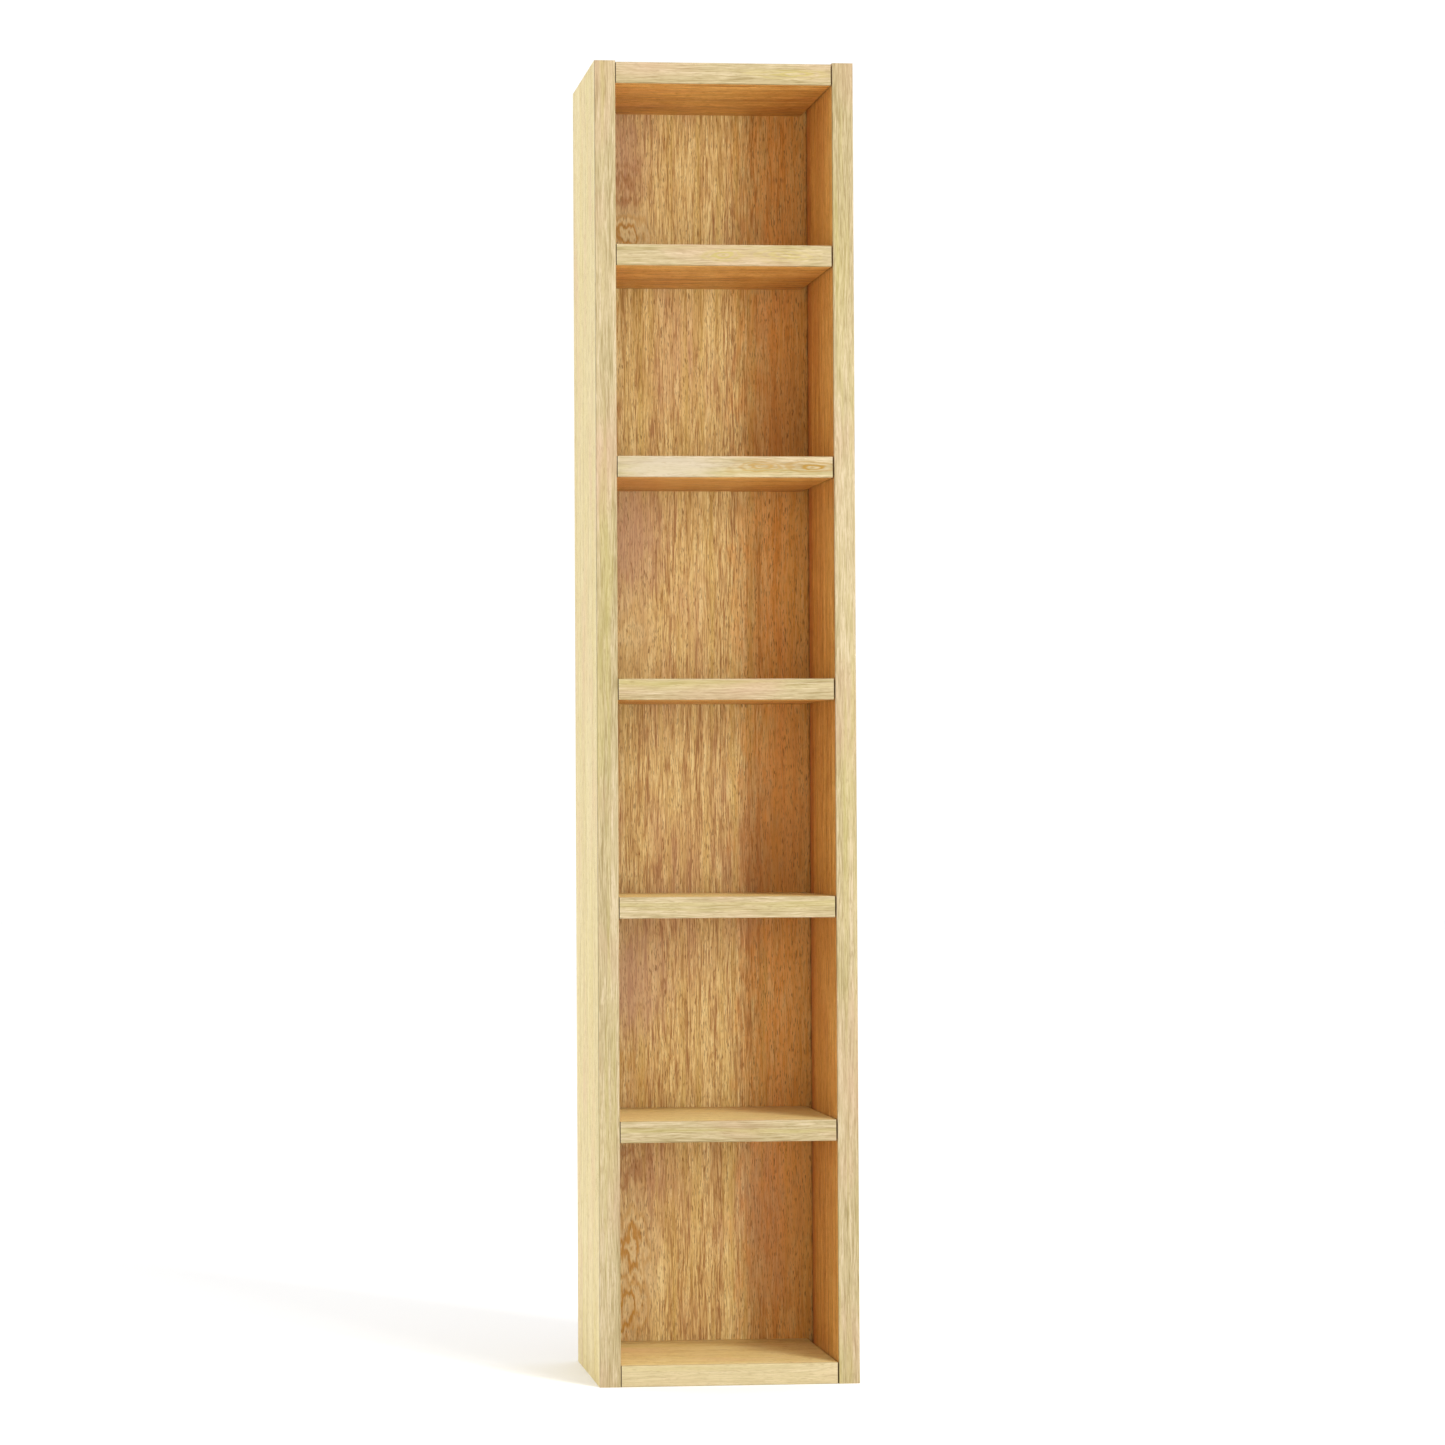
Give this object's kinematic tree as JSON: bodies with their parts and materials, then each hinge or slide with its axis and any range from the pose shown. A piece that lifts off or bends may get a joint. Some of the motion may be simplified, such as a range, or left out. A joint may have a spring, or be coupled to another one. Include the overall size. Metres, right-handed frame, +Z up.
{
  "type": "open shelf tower",
  "caption": "Tall narrow open-fronted oak shelf tower: full-height sides, top, bottom and rebated back panel, with loose shelves on hidden pins that draw forward.",
  "frame": {"origin": "the middle of the footprint, on the surface that the tower stands on", "axes": "+Z up along the tower's height, -Y out of the open front, +X to the right seen from the front"},
  "size_m": [0.222, 0.168, 1.123],
  "materials": {
    "oak_veneer": "oak veneer on board, satin clear lacquer",
    "oak_back": "thin oak-veneered back panel, satin clear lacquer",
    "oak_lipping": "pale solid oak strip, satin clear lacquer",
    "beech_dowel": "bare fluted beech",
    "steel_pin": "nickel-plated steel",
    "zinc_screw": "zinc-plated steel"
  },
  "bodies": {
    "carcass": {"side_left": "oak_veneer", "lipping_side_left": "oak_lipping", "side_right": "oak_veneer", "lipping_side_right": "oak_lipping", "bottom_panel": "oak_veneer", "lipping_bottom": "oak_lipping", "top_panel": "oak_veneer", "lipping_top": "oak_lipping", "shelf_pin_1_left_front": "steel_pin", "shelf_pin_1_left_rear": "steel_pin", "shelf_pin_1_right_front": "steel_pin", "shelf_pin_1_right_rear": "steel_pin", "shelf_pin_2_left_front": "steel_pin", "shelf_pin_2_left_rear": "steel_pin", "shelf_pin_2_right_front": "steel_pin", "shelf_pin_2_right_rear": "steel_pin", "shelf_pin_3_left_front": "steel_pin", "shelf_pin_3_left_rear": "steel_pin", "shelf_pin_3_right_front": "steel_pin", "shelf_pin_3_right_rear": "steel_pin", "shelf_pin_4_left_front": "steel_pin", "shelf_pin_4_left_rear": "steel_pin", "shelf_pin_4_right_front": "steel_pin", "shelf_pin_4_right_rear": "steel_pin", "shelf_pin_5_left_front": "steel_pin", "shelf_pin_5_left_rear": "steel_pin", "shelf_pin_5_right_front": "steel_pin", "shelf_pin_5_right_rear": "steel_pin", "dowel_bottom_left_1": "beech_dowel", "dowel_bottom_left_2": "beech_dowel", "dowel_bottom_left_3": "beech_dowel", "dowel_top_left_1": "beech_dowel", "dowel_top_left_2": "beech_dowel", "dowel_top_left_3": "beech_dowel", "dowel_bottom_right_1": "beech_dowel", "dowel_bottom_right_2": "beech_dowel", "dowel_bottom_right_3": "beech_dowel", "dowel_top_right_1": "beech_dowel", "dowel_top_right_2": "beech_dowel", "dowel_top_right_3": "beech_dowel", "back_panel": "oak_back", "back_screw_bottom_1": "zinc_screw", "back_screw_bottom_2": "zinc_screw", "back_screw_bottom_3": "zinc_screw", "back_screw_top_1": "zinc_screw", "back_screw_top_2": "zinc_screw", "back_screw_top_3": "zinc_screw"},
    "shelf_body_1": {"shelf_1": "oak_veneer", "lipping_shelf_1": "oak_lipping"},
    "shelf_body_2": {"shelf_2": "oak_veneer", "lipping_shelf_2": "oak_lipping"},
    "shelf_body_3": {"shelf_3": "oak_veneer", "lipping_shelf_3": "oak_lipping"},
    "shelf_body_4": {"shelf_4": "oak_veneer", "lipping_shelf_4": "oak_lipping"},
    "shelf_body_5": {"shelf_5": "oak_veneer", "lipping_shelf_5": "oak_lipping"}
  },
  "joints": [
    {"name": "shelf_1_draw", "type": "slide", "parent": "carcass", "child": "shelf_body_1", "axis": [0, -1, 0], "range_m": [0, 0.15]},
    {"name": "shelf_2_draw", "type": "slide", "parent": "carcass", "child": "shelf_body_2", "axis": [0, -1, 0], "range_m": [0, 0.15]},
    {"name": "shelf_3_draw", "type": "slide", "parent": "carcass", "child": "shelf_body_3", "axis": [0, -1, 0], "range_m": [0, 0.15]},
    {"name": "shelf_4_draw", "type": "slide", "parent": "carcass", "child": "shelf_body_4", "axis": [0, -1, 0], "range_m": [0, 0.15]},
    {"name": "shelf_5_draw", "type": "slide", "parent": "carcass", "child": "shelf_body_5", "axis": [0, -1, 0], "range_m": [0, 0.15]}
  ]
}
